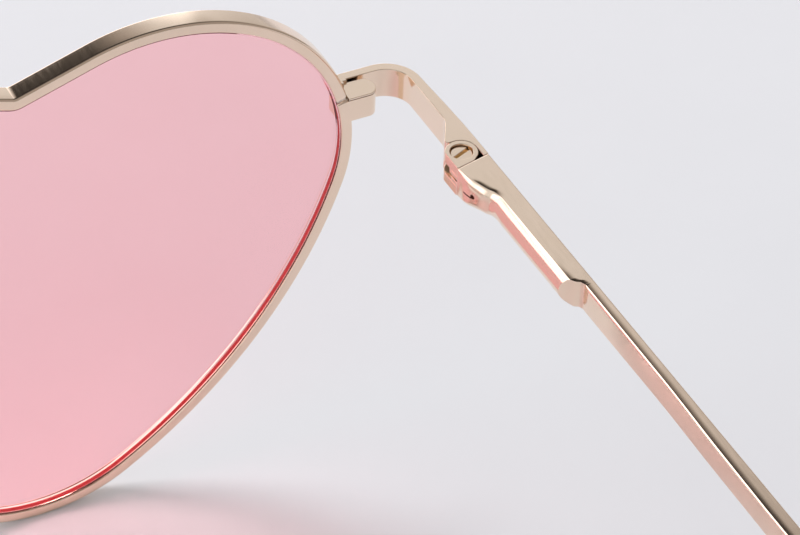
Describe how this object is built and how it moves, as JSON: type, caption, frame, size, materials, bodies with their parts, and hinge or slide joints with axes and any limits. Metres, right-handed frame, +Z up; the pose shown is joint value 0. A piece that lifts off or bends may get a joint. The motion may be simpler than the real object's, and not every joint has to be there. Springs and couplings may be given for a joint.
{
  "type": "heart shaped sunglasses",
  "caption": "Sunglasses with heart shaped tinted lenses in a thin polished metal frame, folding temples on screwed hinges, plastic temple tips and clear nose pads.",
  "frame": {"origin": "on the surface that the open sunglasses stand on, under the middle of their length and width", "axes": "+Z up, +Y backwards along the open temples, -Y the way the wearer looks, +X to the wearer's left"},
  "size_m": [0.1632, 0.1458, 0.052],
  "materials": {
    "frame_metal": "polished, rose gold plated",
    "screw_metal": "polished, gold plated",
    "lens_tint": "polished, tinted pink",
    "tip_plastic": "polished, translucent rose",
    "pad_core_plastic": "clear",
    "pad_silicone": "soft and clear"
  },
  "bodies": {
    "front": {"rim_right": "frame_metal", "rim_left": "frame_metal", "lens_right": "lens_tint", "lens_left": "lens_tint", "closing_block_upper_right": "frame_metal", "closing_block_upper_left": "frame_metal", "closing_block_lower_right": "frame_metal", "closing_block_lower_left": "frame_metal", "closing_screw_right": "screw_metal", "closing_screw_left": "screw_metal", "end_piece_right": "frame_metal", "end_piece_left": "frame_metal", "pad_arm_right": "frame_metal", "pad_arm_left": "frame_metal", "pad_box_right": "frame_metal", "pad_box_left": "frame_metal", "pad_screw_right": "screw_metal", "pad_screw_left": "screw_metal", "bridge": "frame_metal"},
    "temple_right_arm": {"temple_right": "frame_metal", "temple_tip_right": "tip_plastic", "hinge_fork_right": "frame_metal", "hinge_screw_right": "screw_metal"},
    "temple_left_arm": {"temple_left": "frame_metal", "temple_tip_left": "tip_plastic", "hinge_fork_left": "frame_metal", "hinge_screw_left": "screw_metal"},
    "pad_right": {"nose_pad_right": "pad_silicone", "pad_core_right": "pad_core_plastic"},
    "pad_left": {"nose_pad_left": "pad_silicone", "pad_core_left": "pad_core_plastic"}
  },
  "joints": [
    {"name": "temple_fold_right", "type": "hinge", "parent": "front", "child": "temple_right_arm", "pos_m": [-0.07322, -0.05941, 0.03795], "axis": [0, 0, -1], "range_deg": [0, 91]},
    {"name": "temple_fold_left", "type": "hinge", "parent": "front", "child": "temple_left_arm", "pos_m": [0.07322, -0.05941, 0.03795], "axis": [0, 0, 1], "range_deg": [0, 86]},
    {"name": "pad_rock_right", "type": "hinge", "parent": "front", "child": "pad_right", "pos_m": [-0.01321, -0.06276, 0.0296], "axis": [-0.4226, 0.9063, 0], "range_deg": [-8, 8]},
    {"name": "pad_rock_left", "type": "hinge", "parent": "front", "child": "pad_left", "pos_m": [0.01321, -0.06276, 0.0296], "axis": [0.4226, 0.9063, 0], "range_deg": [-8, 8]}
  ]
}
